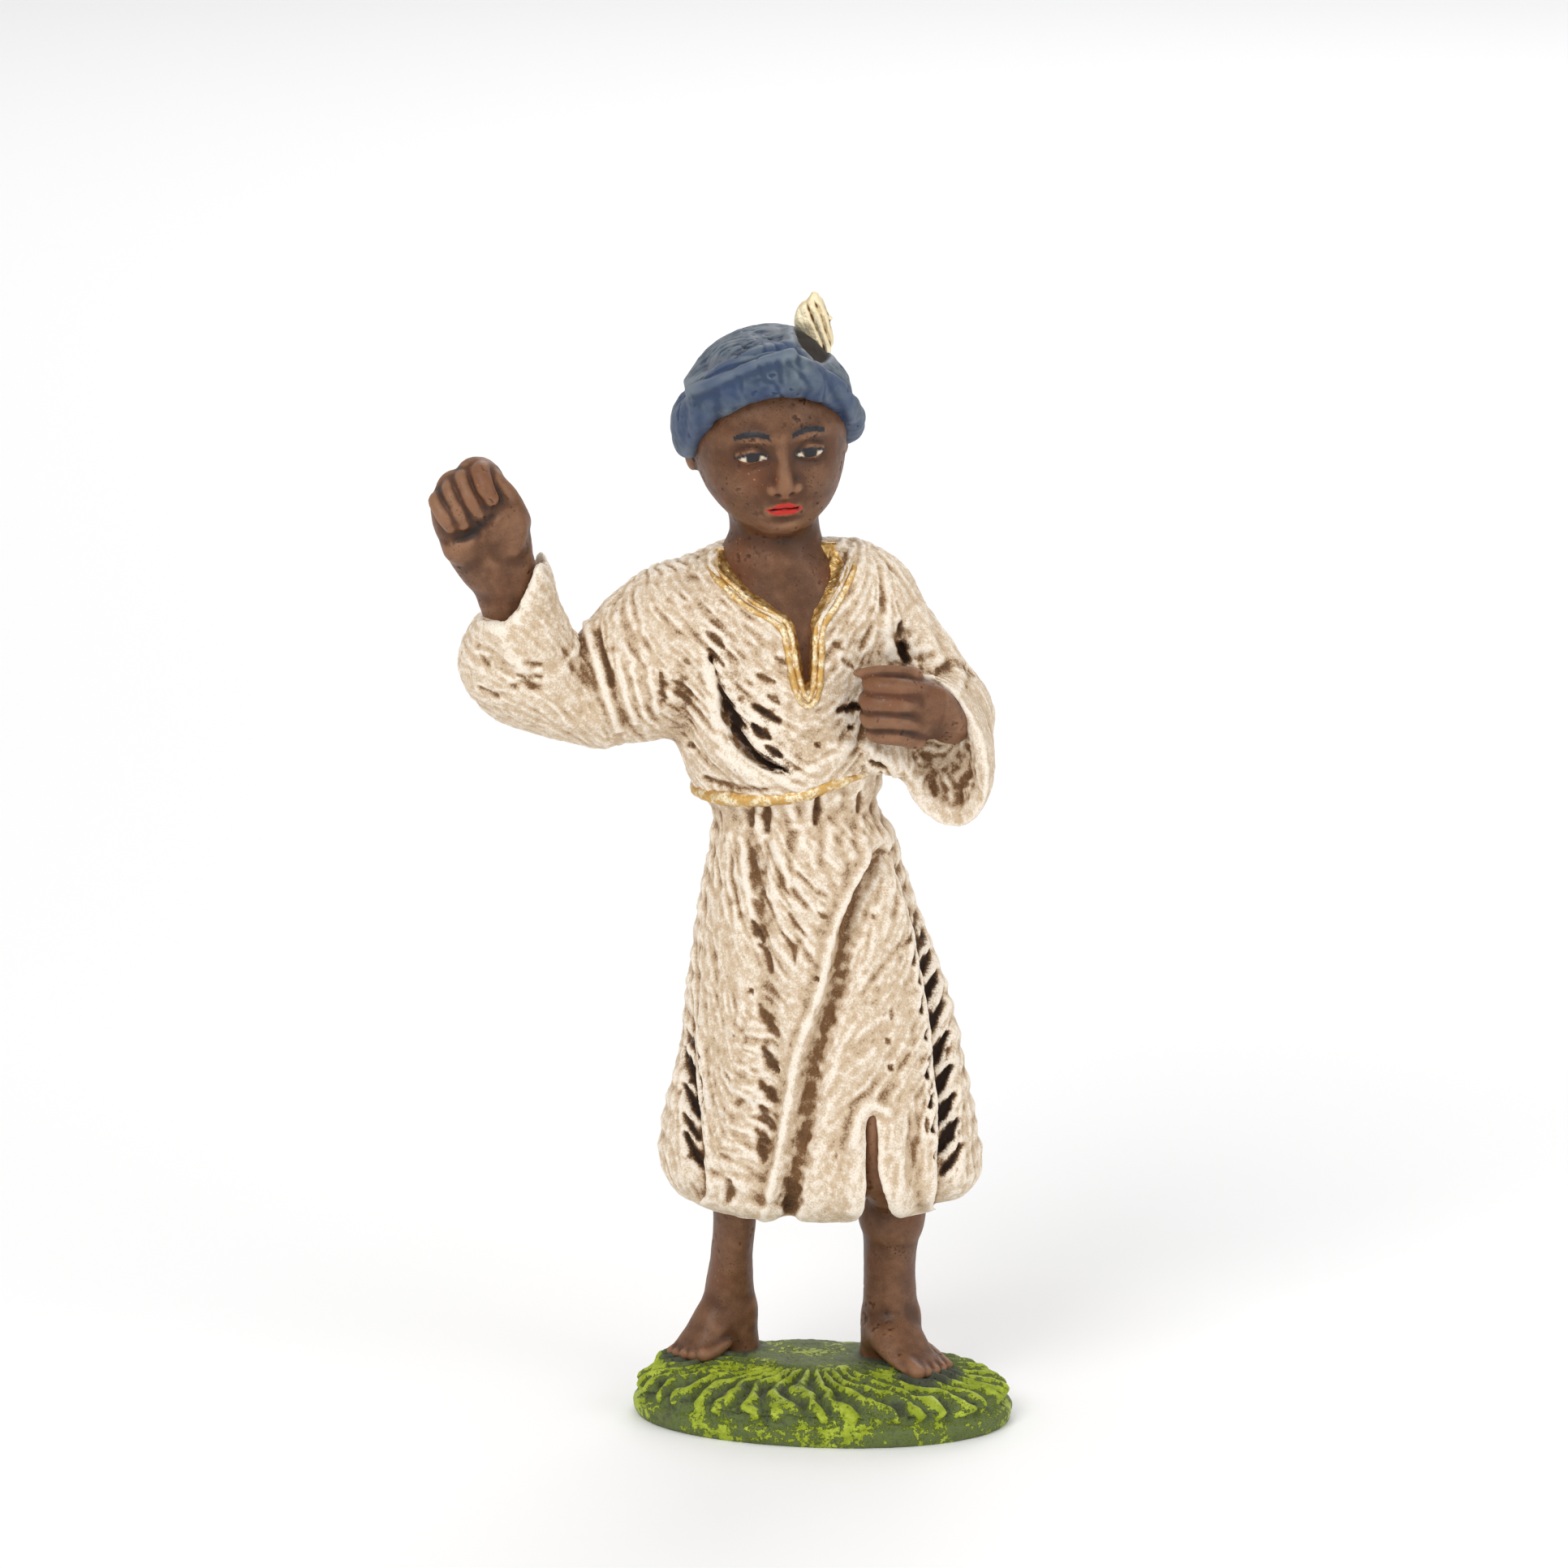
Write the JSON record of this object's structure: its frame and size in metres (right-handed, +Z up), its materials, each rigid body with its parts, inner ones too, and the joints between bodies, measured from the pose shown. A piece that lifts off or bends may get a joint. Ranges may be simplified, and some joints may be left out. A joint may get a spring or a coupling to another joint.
{
  "type": "nativity figure",
  "caption": "Barefoot youth in a belted robe and plumed turban, right fist raised and left fist before the chest, cast in one with an oval grassy base.",
  "frame": {"origin": "centre of the base's flat underside", "axes": "+Z up along the standing figure, -Y the way the figure faces, +X to its left-hand side, which is the viewer's right"},
  "size_m": [0.0547, 0.027, 0.1084],
  "materials": {
    "painted_casting": "hand-painted composition: cream robe with a brown wash in its folds, brown skin, slate-blue turban, gilt trim, belt and plume, green turf; satin"
  },
  "bodies": {
    "root": {"robed_youth_figure": "painted_casting"}
  },
  "joints": []
}
